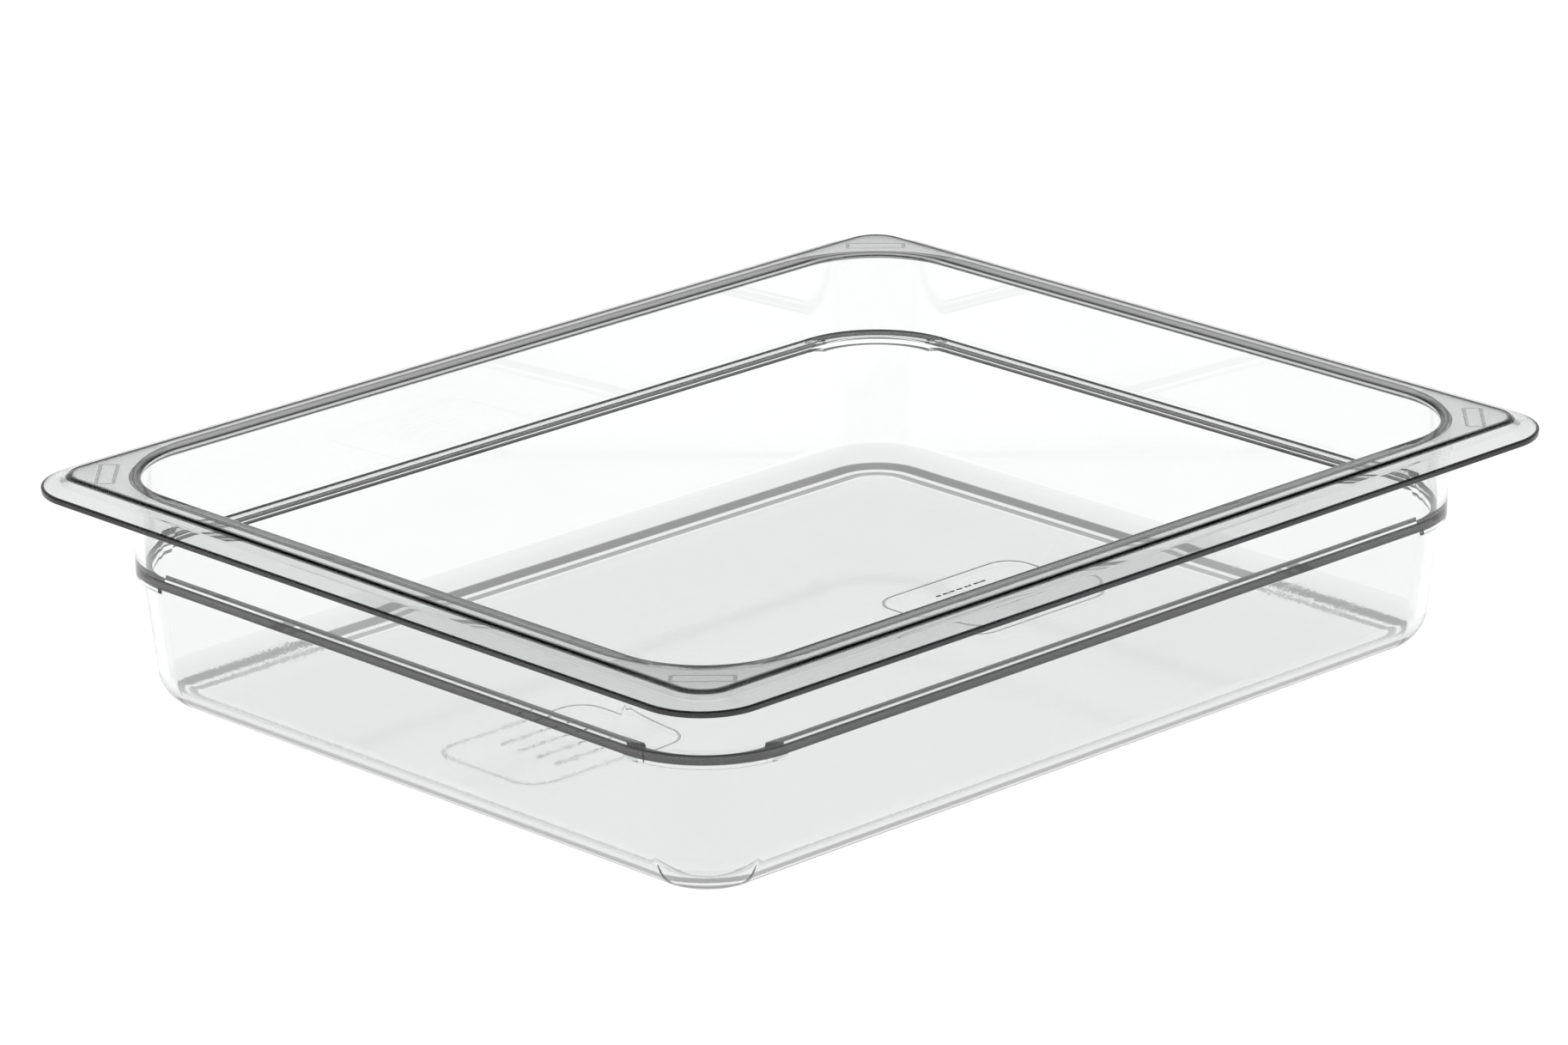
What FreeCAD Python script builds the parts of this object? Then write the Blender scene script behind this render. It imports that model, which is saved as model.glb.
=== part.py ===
import FreeCAD, Part

import math
import os

# Half-size gastronorm food pan, 65 mm deep, one injection moulding of clear polycarbonate.
# The origin is the centre of the underside, +Z points up and +X runs along the long side.
# The moulding is written out as its zones, which meet face to face and never overlap.
# An inset is a distance inwards from the outermost edge of the lip, in plan.

# ---- overall size (mm, degrees) ----
LENGTH = 325.0
WIDTH = 265.0
HEIGHT = 65.0

# ---- walls and floor ----
WALL = 2.8
FLOOR = 2.8
UPPER_WALL_INSET = 14.3
UPPER_DRAFT = 1.0
LOWER_DRAFT = 6.3
WALL_CORNER_CENTRE = 43.3
BOTTOM_RADIUS = 12.0

# ---- stacking ledge ----
LEDGE_DEPTH = 23.4
LEDGE_THICKNESS = 2.9
LEDGE_STEP = 3.2
LEDGE_EDGE_RADIUS = 1.0
CORNER_DROP = 1.1

# ---- rim ----
LIP_CORNER_RADIUS = 18.7
LIP_DROP = 3.2
LIP_EDGE = 1.6
SLOPE_INSET = 5.9
STEP_DROP = 1.7
PLATFORM_INSET = 8.4
PLATFORM_CORNER_RADIUS = 8.6
PLATFORM_THICKNESS = 2.6
MOUTH_CHAMFER = 1.2

# ---- raised marks ----
MARK_HEIGHT = 0.25
MARK_LINE = 0.9
PANEL_CENTRES = (-87.0, 75.0)
PANEL_LENGTH = 55.0
PANEL_WIDTH = 40.0
PANEL_RADIUS = 8.0
BAR_COUNT = 4
BAR_PITCH = 7.0
BAR_LENGTH = 22.0
LABEL_LENGTH = 17.0
LABEL_WIDTH = 5.5
LABEL_RADIUS = 1.0
LABEL_DIAGONAL = 18.0

# ---- worked out from the sizes above ----
LEDGE_TOP = HEIGHT - LEDGE_DEPTH
LEDGE_BOTTOM = LEDGE_TOP - LEDGE_THICKNESS
PLATFORM_BOTTOM = HEIGHT - PLATFORM_THICKNESS
LIP_TOP = HEIGHT - LIP_DROP
LIP_BOTTOM = LIP_TOP - LIP_EDGE
STEP_FOOT = HEIGHT - STEP_DROP
UPPER_SLOPE = math.tan(math.radians(UPPER_DRAFT))
LOWER_SLOPE = math.tan(math.radians(LOWER_DRAFT))
BEND_REACH = BOTTOM_RADIUS * math.tan(math.radians(90.0 - LOWER_DRAFT) / 2)
OVER = 5.0


def rounded_rectangle(inset, radius, z):
    """Closed outline: a rectangle set in from the lip by inset, its corners rounded by radius."""
    across = (LENGTH / 2 - inset, WIDTH / 2 - inset)
    edges = []
    for turn in range(4):
        near, side = (across[0], across[1]) if turn % 2 == 0 else (across[1], across[0])
        bulge = radius * math.sqrt(0.5)
        points = [
            (near, -(side - radius)),
            (near, side - radius),
            (near - radius + bulge, side - radius + bulge),
            (near - radius, side),
        ]
        spin = FreeCAD.Rotation(FreeCAD.Vector(0, 0, 1), 90 * turn)
        start, bend, middle, end = (spin.multVec(FreeCAD.Vector(x, y, z)) for x, y in points)
        edges.append(Part.makeLine(start, bend))
        edges.append(Part.Arc(bend, middle, end).toShape())
    return Part.Wire(edges)


def block(sections):
    """Solid with flat or tapered sides through (inset, radius, z) outlines, from low to high."""
    wires = [rounded_rectangle(*section) for section in sections]
    return Part.makeLoft(wires, True, True)


def slab(low, high):
    """A plain block wider than the pan, between two heights."""
    corner = FreeCAD.Vector(-LENGTH, -WIDTH, low)
    return Part.makeBox(2 * LENGTH, 2 * WIDTH, high - low, corner)


def edges_at(solid, z):
    """The edges of a solid that lie wholly at height z."""
    near = 1e-6
    return [e for e in solid.Edges if abs(e.BoundBox.ZMin - z) < near and abs(e.BoundBox.ZMax - z) < near]


def upper_outer(z):
    """The upper wall's outer face at height z: inset, corner radius and height."""
    inset = UPPER_WALL_INSET - (z - LEDGE_BOTTOM) * UPPER_SLOPE
    return inset, WALL_CORNER_CENTRE - inset, z


def lower_outer(z):
    """The lower wall's outer face at height z: inset, corner radius and height."""
    inset = UPPER_WALL_INSET + LEDGE_STEP + (LEDGE_BOTTOM - z) * LOWER_SLOPE
    return inset, WALL_CORNER_CENTRE - inset, z


def inner(section):
    """The inner face one wall inside an outer one."""
    inset, radius, z = section
    return inset + WALL, radius - WALL, z


def corner_cells():
    """Four upright blocks, one over each corner, out to where the walls run straight."""
    cells = []
    for sx in (-1, 1):
        for sy in (-1, 1):
            x = sx * LENGTH / 2 - (WALL_CORNER_CENTRE if sx > 0 else 0.0)
            y = sy * WIDTH / 2 - (WALL_CORNER_CENTRE if sy > 0 else 0.0)
            base = FreeCAD.Vector(x, y, -OVER)
            cells.append(Part.makeBox(WALL_CORNER_CENTRE, WALL_CORNER_CENTRE, HEIGHT + 2 * OVER, base))
    return Part.makeCompound(cells)


def lower_body():
    """Solid outer shape below the ledge, rounded along the bottom."""
    body = block([lower_outer(0.0), lower_outer(LEDGE_TOP)])
    return body.makeFillet(BOTTOM_RADIUS, edges_at(body, 0.0))


def upper_body():
    """Solid outer shape from the ledge's underside to the rim; the corners reach lower."""

    def from_height(z):
        body = block([upper_outer(z), upper_outer(HEIGHT)])
        return body.makeFillet(LEDGE_EDGE_RADIUS, edges_at(body, z))

    corners = from_height(LEDGE_BOTTOM - CORNER_DROP).common(corner_cells())
    return from_height(LEDGE_BOTTOM).fuse(corners)


def cavity():
    """The space inside the pan, from the floor to above the rim; the ledge's corners are lower."""
    basin = block([inner(lower_outer(FLOOR)), inner(lower_outer(LEDGE_TOP))])
    basin = basin.makeFillet(BOTTOM_RADIUS - WALL, edges_at(basin, FLOOR))
    well = block([inner(upper_outer(LEDGE_TOP)), inner(upper_outer(HEIGHT + OVER))])
    deep = block([inner(upper_outer(LEDGE_TOP - CORNER_DROP)), inner(upper_outer(HEIGHT))])
    inset, radius, _ = inner(upper_outer(HEIGHT))
    mouth = block(
        [
            (inset + MOUTH_CHAMFER, radius - MOUTH_CHAMFER, HEIGHT - 2 * MOUTH_CHAMFER),
            (inset - MOUTH_CHAMFER, radius + MOUTH_CHAMFER, HEIGHT),
        ]
    )
    return basin.fuse(well).fuse(deep.common(corner_cells())).fuse(mouth)


def flange_sections(depth):
    """The flange's stepped top as outlines or, with a depth, the underside that far inside it."""
    step_radius = PLATFORM_CORNER_RADIUS + PLATFORM_INSET - SLOPE_INSET
    return [
        (depth, LIP_CORNER_RADIUS - depth, LIP_TOP - depth),
        (SLOPE_INSET + depth, step_radius - depth, STEP_FOOT - depth),
        (PLATFORM_INSET + depth, PLATFORM_CORNER_RADIUS - depth, HEIGHT - PLATFORM_THICKNESS * depth / LIP_EDGE),
    ]


def flange_body():
    """The whole flange: flat platform, step and sloping lip, hollow underneath."""
    top = block([(0.0, LIP_CORNER_RADIUS, LIP_BOTTOM)] + flange_sections(0.0))
    below = flange_sections(LIP_EDGE)
    mouth = (below[0][0], below[0][1], LIP_BOTTOM - OVER)
    return top.cut(block([mouth] + below))


def platform_core():
    """The upright block inside the platform's edge, which parts the platform from the lip."""
    section = (PLATFORM_INSET, PLATFORM_CORNER_RADIUS)
    return block([(*section, LIP_BOTTOM - OVER), (*section, HEIGHT + OVER)])


def rounded_pad(length, width, radius):
    """A flat pad with rounded corners, centred on the origin and MARK_HEIGHT thick."""
    pad = Part.makeBox(length, width, MARK_HEIGHT, FreeCAD.Vector(-length / 2, -width / 2, 0))
    upright = [e for e in pad.Edges if e.BoundBox.ZLength > MARK_HEIGHT / 2]
    return pad.makeFillet(radius, upright)


def raised_frame(length, width, radius):
    """A raised line round a rounded rectangle, centred on the origin."""
    hole = rounded_pad(length - 2 * MARK_LINE, width - 2 * MARK_LINE, radius - MARK_LINE)
    return rounded_pad(length, width, radius).cut(hole)


def floor_marks():
    """Two plain framed panels on the floor, each with a few short bars in it."""
    marks = []
    for centre in PANEL_CENTRES:
        pieces = [raised_frame(PANEL_LENGTH, PANEL_WIDTH, PANEL_RADIUS)]
        for step in range(BAR_COUNT):
            y = (step - (BAR_COUNT - 1) / 2) * BAR_PITCH
            bar = Part.makeBox(BAR_LENGTH, MARK_LINE, MARK_HEIGHT)
            bar.translate(FreeCAD.Vector(-BAR_LENGTH / 2, y - MARK_LINE / 2, 0))
            pieces.append(bar)
        for piece in pieces:
            piece.translate(FreeCAD.Vector(centre, 0, FLOOR))
        marks += pieces
    return Part.makeCompound(marks)


def pad_marks():
    """A plain framed label under each corner pad, square to the corner's diagonal."""
    marks = []
    for sx in (-1, 1):
        for sy in (-1, 1):
            frame = raised_frame(LABEL_LENGTH, LABEL_WIDTH, LABEL_RADIUS)
            frame.rotate(FreeCAD.Vector(), FreeCAD.Vector(0, 0, 1), -45.0 * sx * sy)
            x = sx * (LENGTH / 2 - LABEL_DIAGONAL)
            y = sy * (WIDTH / 2 - LABEL_DIAGONAL)
            frame.translate(FreeCAD.Vector(x, y, PLATFORM_BOTTOM - MARK_HEIGHT))
            marks.append(frame)
    return Part.makeCompound(marks)


def zones():
    """The moulding's zones by name."""
    hollow = cavity()
    barrel = upper_body()
    cells = corner_cells()
    lower = lower_body().cut(hollow).cut(barrel)
    upper = barrel.cut(hollow)
    skirt = flange_body().cut(barrel)
    platform = skirt.common(platform_core()).fuse(upper.common(slab(PLATFORM_BOTTOM, HEIGHT)))
    flat_inset = lower_outer(0.0)[0] + BEND_REACH
    flat = (flat_inset, WALL_CORNER_CENTRE - flat_inset)
    panel = block([(*flat, -OVER), (*flat, BOTTOM_RADIUS)])
    bend = lower.common(slab(-OVER, BOTTOM_RADIUS))
    shelf = upper.common(slab(0.0, LEDGE_TOP))
    feet = shelf.common(cells).common(slab(0.0, LEDGE_TOP - CORNER_DROP))
    ledge = shelf.cut(cells)
    return {
        "floor_panel": bend.common(panel),
        "bottom_bend": bend.cut(panel),
        "lower_wall": lower.common(slab(BOTTOM_RADIUS, LEDGE_TOP)),
        "stacking_ledge": ledge,
        "stacking_corners": feet,
        "upper_wall": upper.common(slab(0.0, PLATFORM_BOTTOM)).cut(ledge).cut(feet),
        "rim_platform": platform.cut(cells),
        "corner_pads": platform.common(cells),
        "sloping_lip": skirt.cut(platform_core()),
        "floor_marks": floor_marks(),
        "pad_marks": pad_marks(),
    }


os.makedirs("parts", exist_ok=True)
for name, shape in zones().items():
    shape.exportStep("parts/" + name + ".step")
    print(name, "solids", len(shape.Solids), "volume", round(shape.Volume / 1000, 2), "ml", shape.isValid())
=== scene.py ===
import bpy
import math
import numpy as np
from mathutils import Matrix


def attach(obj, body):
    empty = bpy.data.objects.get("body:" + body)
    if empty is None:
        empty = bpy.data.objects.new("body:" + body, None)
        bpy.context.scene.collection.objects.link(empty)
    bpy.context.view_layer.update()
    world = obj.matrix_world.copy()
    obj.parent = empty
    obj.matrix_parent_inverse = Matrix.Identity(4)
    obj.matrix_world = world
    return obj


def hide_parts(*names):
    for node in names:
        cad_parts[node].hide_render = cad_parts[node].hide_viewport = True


# %% [markdown]
# # A clear deli food pan
# The real object is one injection moulding of clear polycarbonate. A half-size gastronorm pan has a
# tapered basin with a rounded bottom, a ledge that stops stacked pans from jamming, a straighter upper
# wall, and a rim made of a flat platform, a small step and a sloping lip.
# We start from the CAD frame. It is already in metres, with the pan standing on z = 0.

# %% The CAD frame and its box
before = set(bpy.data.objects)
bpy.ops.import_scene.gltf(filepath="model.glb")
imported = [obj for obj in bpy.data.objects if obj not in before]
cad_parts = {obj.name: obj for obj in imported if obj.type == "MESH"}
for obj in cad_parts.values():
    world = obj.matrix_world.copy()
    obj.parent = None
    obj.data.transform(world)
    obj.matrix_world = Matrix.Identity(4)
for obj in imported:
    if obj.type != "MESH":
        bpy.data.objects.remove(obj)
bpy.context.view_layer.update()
print("CAD nodes:", sorted(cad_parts))

# %% [markdown]
# ## Sizes
# All sizes are written in millimetres, as a mould maker would, and turned into metres only when a mesh
# is made. An *inset* is how far a line lies inside the outermost edge of the lip, seen from above.

# %% Sizes of the pan
MM = 0.001
LENGTH, WIDTH, HEIGHT = 325.0, 265.0, 65.0
CORNER_CENTRE = 43.3  # the upper wall's corner arcs have their centre this far inside both lip edges
LOW_CORNER_CENTRE = 40.2  # the same for the lower wall and the floor
CORNER_DROP = 1.1  # the ledge lies this much lower round the corners
WALL, FLOOR = 2.8, 2.8
LEDGE_TOP, LEDGE_BOTTOM = 41.6, 38.7
LEDGE_EDGE, LEDGE_ROOT = 14.3, 17.5  # insets of the ledge's outer edge and of the lower wall below it
LIP_CORNER, LIP_TOP, LIP_BOTTOM = 18.7, 61.8, 60.2
UNDER_PLATFORM = 63.4
FLOOR_START = 36.0  # the section begins and ends on the flat floor, this far in
LOWER_SLOPE, UPPER_SLOPE = math.tan(math.radians(6.3)), math.tan(math.radians(1.0))


def lower_wall_inset(z):
    """Inset of the lower wall's outer face at height z: its root at the ledge, more towards the bottom."""
    return LEDGE_ROOT + (LEDGE_BOTTOM - z) * LOWER_SLOPE


def upper_wall_inset(z):
    """Inset of the upper wall's outer face at height z: the ledge's edge, and a little less at the rim."""
    return LEDGE_EDGE - (z - LEDGE_BOTTOM) * UPPER_SLOPE


print("lower wall inset at the bottom:", round(lower_wall_inset(0.0), 2), "mm")

# %% [markdown]
# ## The section through the wall
# Clear plastic is drawn by its edges: every dark or bright line in it is light bent by a small
# rounding. So the section is a line of corner points, each with its own rounding radius, from the middle
# of the floor, up the inside, over the rim, down the outside and back under the floor. A subdivision
# surface would round everything by an amount that is hard to control. Rounding each corner of the
# section with a true arc keeps the flats flat and gives each edge its own radius. The long bend round
# the bottom gets finer steps than the small roundings, so that its outline stays round.

# %% Rounding the corners of a section


def rounded_section(corners):
    """Rows of (inset, z, radius, corner radius, drop, shade) become a smooth open line of
    (inset, z, corner radius, drop, shade).

    At a corner with rounding r, the line leaves each of its two legs at r * tan(turn / 2) from the
    corner, and follows the circle that touches both legs. The other values are carried along: they
    change linearly with the distance gone along each leg."""
    rows = np.array([[c[0], c[1], c[3], c[4], c[5]] for c in corners])
    line = [rows[:1]]
    for i in range(1, len(rows) - 1):
        back, ahead = rows[i - 1] - rows[i], rows[i + 1] - rows[i]
        back, ahead = back / np.hypot(*back[:2]), ahead / np.hypot(*ahead[:2])
        turn = math.pi - math.acos(np.clip(back[:2] @ ahead[:2], -1, 1))
        radius = corners[i][2]
        if radius == 0 or turn < 1e-3:
            line.append(rows[i : i + 1])
            continue
        cut = radius * math.tan(turn / 2)
        step = 8 if radius < 5 else 2.5
        count = max(3, int(math.degrees(turn) / step) + 1)
        angle = np.linspace(0, turn, count)
        # along the first leg the arc has gone r sin(angle); away from that leg it has risen r (1 - cos)
        rise = radius * (1 - np.cos(angle)) / math.sin(turn)
        left = cut - radius * np.sin(angle) + rise * math.cos(turn)
        line.append(rows[i] + left[:, None] * back + rise[:, None] * ahead)
    line.append(rows[-1:])
    return np.concatenate(line)


def wall_corner(inset):
    """Corner radius of the upper wall's outline at an inset: its arcs share one centre."""
    return CORNER_CENTRE - inset


def low_corner(inset):
    """Corner radius of the lower wall's and floor's outlines, which turn a little tighter."""
    return LOW_CORNER_CENTRE - inset


# %% [markdown]
# The rim's outlines don't share that centre: the platform's outer edge turns a tight corner and the mouth
# a wide one, which leaves the flat triangular pads at the four corners.
#
# The last column, *shade*, is a stand-in. Light trapped in the thickness of real clear plastic leaves the
# lip, the mouth, the ledge and the foot as dark bands. Refraction alone draws only part of them, so each
# point also says how deep its grey is, from 0 for clear to 1 for black. The depths are chosen one by one,
# and they are the same on all four sides of the pan.

# %% The corner points of the pan's section
inner_foot = lower_wall_inset(FLOOR) + WALL
inner_ledge = lower_wall_inset(LEDGE_TOP) + WALL
upper_foot = upper_wall_inset(LEDGE_TOP) + WALL
mouth = upper_wall_inset(HEIGHT) + WALL
under_rim = upper_wall_inset(UNDER_PLATFORM)
bottom = lower_wall_inset(0.0)
PAN_SECTION = [
    # inset, z, rounding, corner radius, drop, painted shade
    (FLOOR_START, FLOOR, 0, low_corner(FLOOR_START), 0, 0),  # floor, top face
    (inner_foot, FLOOR, 9.2, low_corner(inner_foot), 0, 0),  # bend up into the wall
    (inner_ledge, LEDGE_TOP, 0.3, low_corner(inner_ledge), 1, 0),  # ledge, inner edge
    (upper_foot, LEDGE_TOP, 0.2, wall_corner(upper_foot), 1, 0),  # foot of the upper wall
    (mouth, HEIGHT - 1.5, 0, wall_corner(mouth), 0, 0),  # below this the wall has no painted shade
    (mouth, HEIGHT, 1.0, wall_corner(mouth), 0, 0.2),  # mouth, with a little painted shade
    (15.5, HEIGHT, 0, wall_corner(15.5), 0, 0.5),  # painted shade on the platform top, where the wall's thickness is seen from above
    (13.4, HEIGHT, 0, 34.0, 0, 0.33),  # this band of painted shade narrows towards the corners
    (11.5, HEIGHT, 0, 38.5, 0, 0.53),
    (11.2, HEIGHT, 0, 39.0, 0, 0),  # corner pads begin
    (9.6, HEIGHT, 0, 7.4, 0, 0),  # platform, outer side
    (9.3, HEIGHT, 0, 7.7, 0, 0.3),
    (8.4, HEIGHT, 0.9, 8.6, 0, 0.68),  # platform, outer edge, under a band of painted shade
    (7.4, 64.32, 0, 9.6, 0, 0.45),  # down the step, still with painted shade
    (7.2, 64.18, 0, 9.8, 0, 0.03),
    (5.9, 63.3, 0.8, 11.1, 0, 0.05),  # foot of the step
    (4.9, 63.05, 0, 12.3, 0, 0),  # down the sloping lip
    (0.9, 62.03, 0, 17.8, 0, 0),
    (0.7, 61.98, 0, 18.0, 0, 0.75),
    (0.0, LIP_TOP, 0.2, LIP_CORNER, 0, 1.0),  # lip, top edge, painted black as shade
    (0.0, 61.2, 0, LIP_CORNER, 0, 0.93),
    (0.0, LIP_BOTTOM, 0.4, LIP_CORNER, 0, 0.9),  # lip, bottom edge, painted dark as shade
    (0.4, 60.3, 0, 18.3, 0, 0),
    (6.5, 61.9, 1.0, 10.5, 0, 0),  # underside of the step
    (9.0, UNDER_PLATFORM, 1.0, 8.0, 0, 0),  # platform, underside
    (10.4, UNDER_PLATFORM, 0, 7.0, 0, 0),
    (10.8, UNDER_PLATFORM, 0, wall_corner(10.8), 0, 0),
    (under_rim, UNDER_PLATFORM, 0.6, wall_corner(under_rim), 0, 0),  # fillet under the rim
    (14.27, 41.7, 0, wall_corner(14.27), 0, 0),
    (14.28, 41.6, 0, wall_corner(14.28), 0, 0.85),  # painted shade on the ledge's outer face, where the ledge is seen through its edge
    (14.28, 41.1, 0, wall_corner(14.28), 0, 0.85),
    (14.28, 40.9, 0, wall_corner(14.28), 0, 0.65),
    (LEDGE_EDGE, LEDGE_BOTTOM + 0.35, 0, wall_corner(LEDGE_EDGE), 0, 0.72),
    (LEDGE_EDGE, LEDGE_BOTTOM + 0.25, 0, wall_corner(LEDGE_EDGE), 0.2, 0.0),
    (LEDGE_EDGE, LEDGE_BOTTOM, 0.2, wall_corner(LEDGE_EDGE), 1, 0.0),  # ledge, outer edge
    (LEDGE_ROOT, LEDGE_BOTTOM, 0.2, low_corner(LEDGE_ROOT), 1, 0),  # under the ledge
    (bottom, 0.0, 12.0, low_corner(bottom), 0, 0),  # bottom bend
    (FLOOR_START, 0.0, 0, low_corner(FLOOR_START), 0, 0),  # floor, underside
]
pan_section = rounded_section(PAN_SECTION)

# %% [markdown]
# The bottom bend's painted shade is set by height on the outside: a painted outline at the foot, a painted
# grey line above it, and then almost nothing.

# %% The foot's painted shade
PAINTED_SHADE = 4  # column of the rounded section that holds the painted shade
outside = np.arange(len(pan_section)) > len(pan_section) // 2
section_z = pan_section[:, 1]
for low, high, depth in ((0.1, 0.6, 0.3), (1.3, 3.0, 0.4), (3.0, 9.0, 0.04)):
    pan_section[outside & (section_z > low) & (section_z < high), PAINTED_SHADE] = depth
print("points along the section:", len(pan_section))

# %% [markdown]
# ## Carrying the section round a rounded rectangle
# The pan is that one section carried round its plan. Each point of the section has its own inset and
# corner radius, so each traces its own rounded rectangle. Two extra stations beside each corner let the
# ledge drop there in a clean step.

# %% The carried surface
CORNER_STEPS = 28
STEP_RUN = 0.35  # the ledge's drop happens over this much of the straight side


def stations():
    """Places round the outline, counter-clockwise: (corner sign x, corner sign y, angle, slide, in corner).

    A station stands at its corner's centre, looks out at the angle, and may slide along the side."""
    rows = []
    for turn, (sx, sy) in enumerate([(1, 1), (-1, 1), (-1, -1), (1, -1)]):
        start = turn * math.pi / 2
        rows.append((sx, sy, start, -STEP_RUN, 0))
        for angle in np.linspace(start, start + math.pi / 2, CORNER_STEPS + 1):
            rows.append((sx, sy, angle, 0.0, 1))
        rows.append((sx, sy, start + math.pi / 2, STEP_RUN, 0))
    return np.array(rows).T


def carried(section, length, width, drop=0.0):
    """Grid of points [station, section point, xyz]: a section carried round a rounded rectangle.

    A point with inset d and corner radius r stands at corner centre (half size - d - r), plus r times
    the outward direction, plus the station's slide along the side. Its z is lowered by the drop there."""
    inset, z, radius, lowered = (column[None, :] for column in section.T[:4])
    sx, sy, angle, slide, cornered = (row[:, None] for row in stations())
    out_x, out_y = np.cos(angle), np.sin(angle)
    x = sx * (length / 2 - inset - radius) + radius * out_x - slide * out_y
    y = sy * (width / 2 - inset - radius) + radius * out_y + slide * out_x
    height = z - drop * lowered * cornered + 0 * x
    return np.stack([x, y, height], axis=2)


def grid_faces(rows, columns, wrap):
    """Four-sided faces of a grid that closes round its rows, and round its columns too if wrap.

    The first edge of a face runs along the section and the second along the outline, so that with a
    section that runs outwards on top and inwards below, faces point outwards."""
    k, m = np.meshgrid(np.arange(rows), np.arange(columns if wrap else columns - 1), indexing="ij")
    k2, m2 = (k + 1) % rows, (m + 1) % columns
    quads = np.stack([k * columns + m, k * columns + m2, k2 * columns + m2, k2 * columns + m], axis=2)
    return quads.reshape(-1, 4)


def carried_mesh(points, capped):
    """Vertices (m) and faces of a carried grid, whose two ends are closed by fans to their middles."""
    rows, columns, _ = points.shape
    vertices = points.reshape(-1, 3) * MM
    faces = [tuple(face) for face in grid_faces(rows, columns, not capped)]
    if capped:
        tops = vertices.reshape(rows, columns, 3)
        middles = np.stack([tops[:, 0].mean(axis=0), tops[:, -1].mean(axis=0)])
        first, last = len(vertices), len(vertices) + 1
        vertices = np.concatenate([vertices, middles])
        ring = np.arange(rows)
        after = (ring + 1) % rows
        start, end = ring * columns, after * columns
        edge = columns - 1
        faces += [tuple(f) for f in np.stack([0 * ring + first, start, end], axis=1)]
        faces += [tuple(f) for f in np.stack([0 * ring + last, end + edge, start + edge], axis=1)]
    return vertices, faces


def make_piece(name, parts):
    """One object from a list of (vertices, faces), smooth across roundings and crisp at sharp edges."""
    start, vertices, faces = 0, [], []
    for part_vertices, part_faces in parts:
        vertices.append(part_vertices)
        faces += [tuple(int(i) + start for i in face) for face in part_faces]
        start += len(part_vertices)
    mesh = bpy.data.meshes.new(name)
    mesh.from_pydata(np.concatenate(vertices).tolist(), [], faces)
    mesh.validate()
    mesh.polygons.foreach_set("use_smooth", np.ones(len(mesh.polygons), bool))
    mesh.set_sharp_from_angle(angle=math.radians(35))
    piece = bpy.data.objects.new(name, mesh)
    bpy.context.scene.collection.objects.link(piece)
    even = piece.modifiers.new("flats stay flat", "WEIGHTED_NORMAL")
    even.keep_sharp = True
    print(name, "has", len(mesh.polygons), "faces")
    return piece


# %% The pan
pan_grid = carried(pan_section, LENGTH, WIDTH, CORNER_DROP)
pan = make_piece("pan_moulding", [carried_mesh(pan_grid, True)])
# painted shade for every vertex of the pan, and none at the two caps' middles
cap_middles = [0.0, 0.0]
shade = np.concatenate([np.tile(pan_section[:, PAINTED_SHADE], len(pan_grid)), cap_middles])
pan.data.attributes.new("edge_shade", "FLOAT", "POINT").data.foreach_set("value", shade)
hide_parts("floor_panel", "bottom_bend", "lower_wall", "stacking_ledge", "stacking_corners",
            "upper_wall", "rim_platform", "corner_pads", "sloping_lip")
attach(pan, "root")

# %% [markdown]
# ## Moulded marks
# The floor has two faint framed panels and the pads have small framed labels underneath. They are thin
# raised lines, so each is a low rounded rib carried round a small rounded rectangle. Short dashes stand
# where a maker would put words.

# %% Ribs and dashes
MARK_HEIGHT, MARK_LINE, SUNK = 0.09, 0.9, 0.02


def rib_section(line, height, corner):
    """Closed section of a rib: an arch with inset from 0 to line, and a flat foot."""
    arch = np.linspace(0, math.pi, 7)
    inset = line / 2 + line / 2 * np.cos(arch)
    z = height * np.sin(arch)
    return np.stack([inset, z, corner - inset, 0 * z], axis=1)


def dash_section(width, height, corner):
    """Open section of a low pad with rounded edges: out over its top and back under its foot."""
    edge = min(height, width / 3)
    bend = np.linspace(0, math.pi / 2, 4)
    inset = np.concatenate([[width * 0.45], edge * (1 - np.sin(bend)), [width * 0.45]])
    z = np.concatenate([[height], height * np.cos(bend), [0.0]])
    return np.stack([inset, z, np.maximum(corner - inset, 0.01), 0 * z], axis=1)


def placed(points, x, y, z, turn=0.0, flip=False):
    """Turns a grid of points about the upright axis and moves it; flip hangs it upside down."""
    if flip:
        points = points * np.array([1, -1, -1])
    c, s = math.cos(turn), math.sin(turn)
    spin = np.array([[c, s, 0], [-s, c, 0], [0, 0, 1]])
    return points @ spin + np.array([x, y, z])


def frame_rib(length, width, corner):
    """A raised line round a rounded rectangle."""
    return carried(rib_section(MARK_LINE, MARK_HEIGHT, corner), length, width)


def dash(length):
    """A short raised dash, one line wide."""
    return carried(dash_section(MARK_LINE, MARK_HEIGHT, MARK_LINE * 0.45), length, MARK_LINE)


# %% The floor's panels
floor_parts = []
rng = np.random.default_rng(7)
for centre in (-87.0, 75.0):
    panel = placed(frame_rib(55.0, 40.0, 8.0), centre, 0, FLOOR - SUNK)
    floor_parts.append(carried_mesh(panel, False))
    for y in (-10.5, -3.5, 3.5, 10.5):
        left = centre - 11.0
        while left < centre + 9.0:
            length = min(rng.uniform(1.6, 5.0), centre + 11.0 - left)
            floor_parts.append(carried_mesh(placed(dash(length), left + length / 2, y, FLOOR - SUNK), True))
            left += length + 1.0
floor_marks = make_piece("floor_marks_raised", floor_parts)

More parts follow.
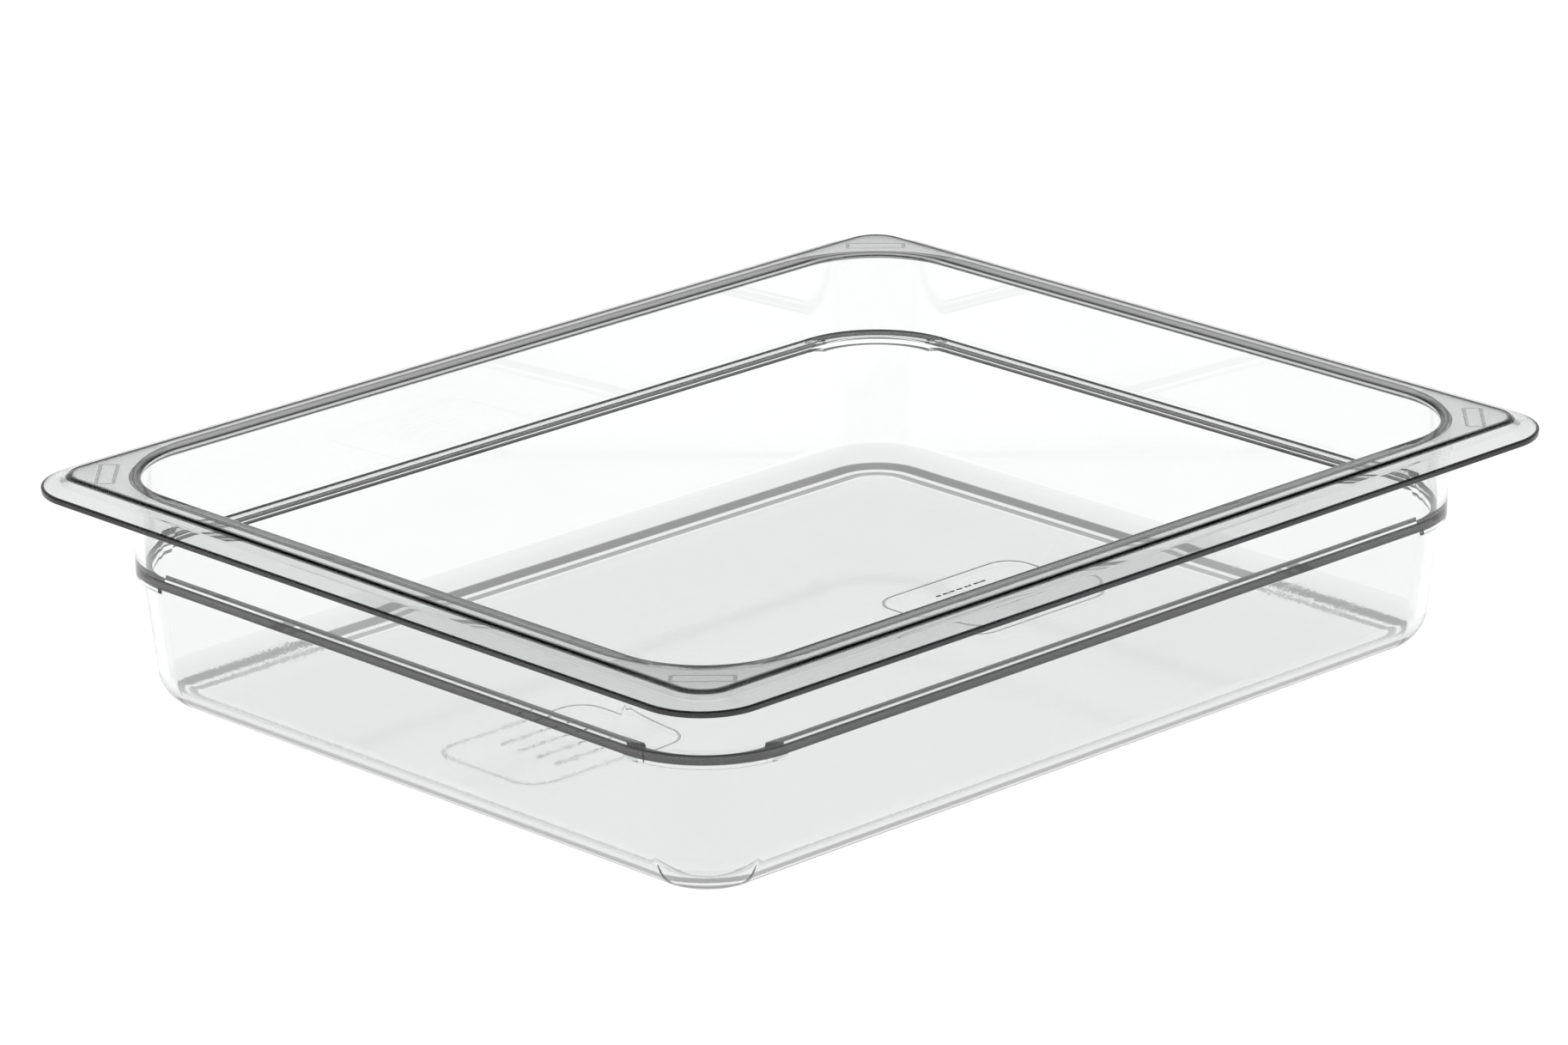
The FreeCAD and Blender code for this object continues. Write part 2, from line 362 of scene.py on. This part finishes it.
# %% The pads' labels
pad_parts = []
for sx in (-1, 1):
    for sy in (-1, 1):
        x, y = sx * (LENGTH / 2 - 18.0), sy * (WIDTH / 2 - 18.0)
        label = placed(frame_rib(17.0, 5.5, 1.0), x, y, UNDER_PLATFORM + SUNK, -sx * sy * math.pi / 4, True)
        pad_parts.append(carried_mesh(label, False))
pad_marks = make_piece("pad_marks_raised", pad_parts)
for piece, node in ((floor_marks, "floor_marks"), (pad_marks, "pad_marks")):
    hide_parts(node)
    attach(piece, "root")

# %% [markdown]
# ## Writing shaders as sums
# A finish is a small calculation on positions. One class wraps a node's output so that + - * and abs() add
# Math nodes, and another makes any other node from its type, its settings and its inputs.

# %% Shader helpers


class Wire:
    """An output of a node. Arithmetic on it adds Math nodes to the same tree."""

    def __init__(self, desk, socket):
        self.desk, self.socket = desk, socket

    def maths(self, operation, *values):
        return self.desk.node("ShaderNodeMath", {"operation": operation}, dict(enumerate(values)))

    def __add__(self, other):
        return self.maths("ADD", self, other)

    __radd__ = __add__

    def __mul__(self, other):
        return self.maths("MULTIPLY", self, other)

    __rmul__ = __mul__

    def __sub__(self, other):
        return self.maths("SUBTRACT", self, other)

    def __rsub__(self, other):
        return self.maths("SUBTRACT", other, self)

    def __abs__(self):
        return self.maths("ABSOLUTE", self)

    def over(self, limit, blur):
        """0 below the limit and 1 above it, with a soft change of width blur."""
        settings = {"interpolation_type": "SMOOTHSTEP"}
        inputs = {"Value": self, "From Min": limit - blur / 2, "From Max": limit + blur / 2}
        return self.desk.node("ShaderNodeMapRange", settings, inputs)


class Desk:
    """A node tree to work on."""

    def __init__(self, tree):
        self.tree = tree
        tree.nodes.clear()

    def node(self, kind, settings=None, inputs=None, output=0):
        """Adds a node: settings first, then its inputs by name or number; returns one output."""
        made = self.tree.nodes.new(kind)
        for key, value in (settings or {}).items():
            if key == "stops":
                ramp = made.color_ramp
                while len(ramp.elements) < len(value):
                    ramp.elements.new(0.5)
                for element, (position, colour) in zip(ramp.elements, value):
                    element.position, element.color = position, colour
            else:
                setattr(made, key, value)
        for key, value in (inputs or {}).items():
            if isinstance(value, Wire):
                self.tree.links.new(value.socket, made.inputs[key])
            else:
                made.inputs[key].default_value = value
        return Wire(self, made.outputs[output]) if made.outputs else None


# %% [markdown]
# ## Clear polycarbonate
# Polycarbonate bends light more than glass (index 1.585) and is very slightly grey. Its polish is high on
# the walls, finely stippled on the floor and lower walls, and matt on the corner pads. Light scuffs and
# the slow waves left by the moulding keep its reflections from looking ruled. The painted edge shade stored
# on the mesh darkens the colour steeply: what gets through falls with the fourth power of 1 - shade. The
# corner pads get a little painted shade too, and the slow waves make the tone a little uneven.

# %% The material


STIPPLE_TOP = 0.036  # the basin is finely stippled up to here (m)
PAD_REACH = 0.043  # the corner pads start this far inside both lip edges (m)


def clear_plastic(name, frosting):
    """Polished clear plastic with stipple low down, matt pads, scuffs and slow waves, darkened by painted
    shade.
    """
    material = bpy.data.materials.new(name)
    material.use_nodes = True
    desk = Desk(material.node_tree)
    place = desk.node("ShaderNodeTexCoord", output="Object")
    x, y, z = (desk.node("ShaderNodeSeparateXYZ", None, {0: place}, axis) for axis in range(3))
    low = 1 - z.over(STIPPLE_TOP, 0.004)
    past_x = abs(x).over(LENGTH / 2 * MM - PAD_REACH, 0.001)
    past_y = abs(y).over(WIDTH / 2 * MM - PAD_REACH, 0.001)
    pads = past_x * past_y * z.over(0.0645, 0.0003)
    stipple = desk.node("ShaderNodeTexNoise", {"noise_dimensions": "3D"},
                        {"Vector": place, "Scale": 900.0, "Detail": 2.0})
    waves = desk.node("ShaderNodeTexNoise", {"noise_dimensions": "3D"},
                      {"Vector": place, "Scale": 14.0, "Detail": 1.0})
    stretch = desk.node("ShaderNodeMapping", None,
                        {"Vector": place, "Rotation": (0.3, 0.2, 0.6), "Scale": (40.0, 900.0, 300.0)})
    scuffs = desk.node("ShaderNodeTexNoise", {"noise_dimensions": "3D"},
                       {"Vector": stretch, "Scale": 1.0, "Detail": 3.0}).over(0.66, 0.06)
    tone_and_painted_shade = desk.node("ShaderNodeMix", {"data_type": "RGBA"},
                     {0: waves, 6: (0.93, 0.94, 0.94, 1), 7: (0.955, 0.96, 0.96, 1)}, 2)
    # painted shade: the edge shade stored on the mesh, and a little on the corner pads, mixes the colour
    # towards near black; the slow waves only make the tone uneven
    painted_shade = desk.node("ShaderNodeAttribute", {"attribute_name": "edge_shade"}, None, 2)
    through = (1 - painted_shade) * (1 - painted_shade) * (1 - pads * 0.1) * (1.02 - waves * 0.04)
    tone_and_painted_shade = desk.node("ShaderNodeMix", {"data_type": "RGBA"},
                     {0: 1 - through * through, 6: tone_and_painted_shade, 7: (0.0004, 0.0004, 0.0005, 1)}, 2)
    relief = stipple * (low * 0.5 + pads * 1.0) * 0.00002 + waves * 0.0001
    bump = desk.node("ShaderNodeBump", None, {"Strength": 1.0, "Distance": 1.0, "Height": relief})
    roughness = 0.01 + low * (0.02 + stipple * 0.04) + pads * 0.18 + scuffs * 0.05 + frosting
    shader = desk.node("ShaderNodeBsdfPrincipled", None,
                       {"Base Color": tone_and_painted_shade, "Roughness": roughness, "IOR": 1.585,
                        "Transmission Weight": 1.0, "Normal": bump})
    desk.node("ShaderNodeOutputMaterial", None, {"Surface": shader})
    return material


clear = clear_plastic("clear_polycarbonate_and_painted_shade", 0.0)
frosted = clear_plastic("clear_polycarbonate_marks", 0.25)
pan.data.materials.append(clear)
floor_marks.data.materials.append(frosted)
pad_marks.data.materials.append(frosted)

# %% [markdown]
# ## The studio
# Clear things are photographed in a bright field: a white ground that fills the view, a pale backdrop
# just above it, and a dark room overhead. Straight through the plastic one sees white, and an edge that
# bends light upwards shows the dark room as a crisp line.

# %% White ground
ground_mesh = bpy.data.meshes.new("ground")
half, level = 8.0, -0.0003  # the ground is 16 m across and lies 0.3 mm under the pan
corners = [(x * half, y * half, level) for x, y in ((-1, -1), (1, -1), (1, 1), (-1, 1))]
ground_mesh.from_pydata(corners, [], [(0, 1, 2, 3)])
ground = bpy.data.objects.new("ground", ground_mesh)
bpy.context.scene.collection.objects.link(ground)
ground_finish = bpy.data.materials.new("lit_white_ground")
ground_finish.use_nodes = True
desk = Desk(ground_finish.node_tree)
glow = desk.node("ShaderNodeEmission", None, {"Color": (1, 1, 1, 1), "Strength": 1.07})
desk.node("ShaderNodeOutputMaterial", None, {"Surface": glow})
ground_mesh.materials.append(ground_finish)

# %% Backdrop and dark room
world = bpy.data.worlds.new("studio")
bpy.context.scene.world = world
world.use_nodes = True
desk = Desk(world.node_tree)
direction = desk.node("ShaderNodeTexCoord", output="Generated")
height = desk.node("ShaderNodeSeparateXYZ", None, {0: direction}, 2)
SKY = [(0.0, 1.0), (0.1, 0.7), (0.32, 0.45), (0.5, 0.15), (0.7, 0.02), (1.0, 0.02)]
sky = desk.node("ShaderNodeValToRGB", {"stops": [(p, (v, v, v, 1)) for p, v in SKY]}, {0: height})
backdrop = desk.node("ShaderNodeBackground", None, {"Color": sky, "Strength": 1.0})
desk.node("ShaderNodeOutputWorld", None, {"Surface": backdrop})

# %% One soft lamp overhead
lamp_data = bpy.data.lights.new("overhead_softbox", "AREA")
lamp_data.shape, lamp_data.size, lamp_data.size_y = "RECTANGLE", 0.5, 0.9
lamp_data.energy = 0.6
lamp = bpy.data.objects.new("overhead_softbox", lamp_data)
lamp.location = (0.35, 0.35, 1.3)
lamp.rotation_euler = (math.radians(15), math.radians(-15), math.radians(45))
bpy.context.scene.collection.objects.link(lamp)

# %% [markdown]
# ## The camera
# A long lens stands back from the pan, looks down at about 19 degrees and sees it corner first.

# %% Camera
azimuth, elevation, roll = (math.radians(a) for a in (-44.1797, 18.8417, -0.5571))
flat = math.cos(elevation)
back = np.array([math.sin(azimuth) * flat, -math.cos(azimuth) * flat, math.sin(elevation)])
level = np.array([math.cos(azimuth), math.sin(azimuth), 0.0])
upright = np.cross(back, level)
right = math.cos(roll) * level + math.sin(roll) * upright
up = -math.sin(roll) * level + math.cos(roll) * upright
camera_data = bpy.data.cameras.new("long_lens")
camera_data.sensor_fit, camera_data.sensor_width = "HORIZONTAL", 36.0
camera_data.lens = 193.217875
camera_data.clip_end = 50.0
camera = bpy.data.objects.new("long_lens", camera_data)
bpy.context.scene.collection.objects.link(camera)
position = (-1.49624, -1.53490, 0.77417)
camera.matrix_world = Matrix([[right[i], up[i], back[i], position[i]] for i in range(3)] + [[0, 0, 0, 1]])
bpy.context.scene.camera = camera
bpy.context.scene.view_settings.view_transform = "Standard"
bpy.context.scene.cycles.max_bounces = 32
bpy.context.scene.cycles.transmission_bounces = 32
bpy.context.scene.cycles.glossy_bounces = 16
print("lens", round(camera_data.lens, 1), "mm")
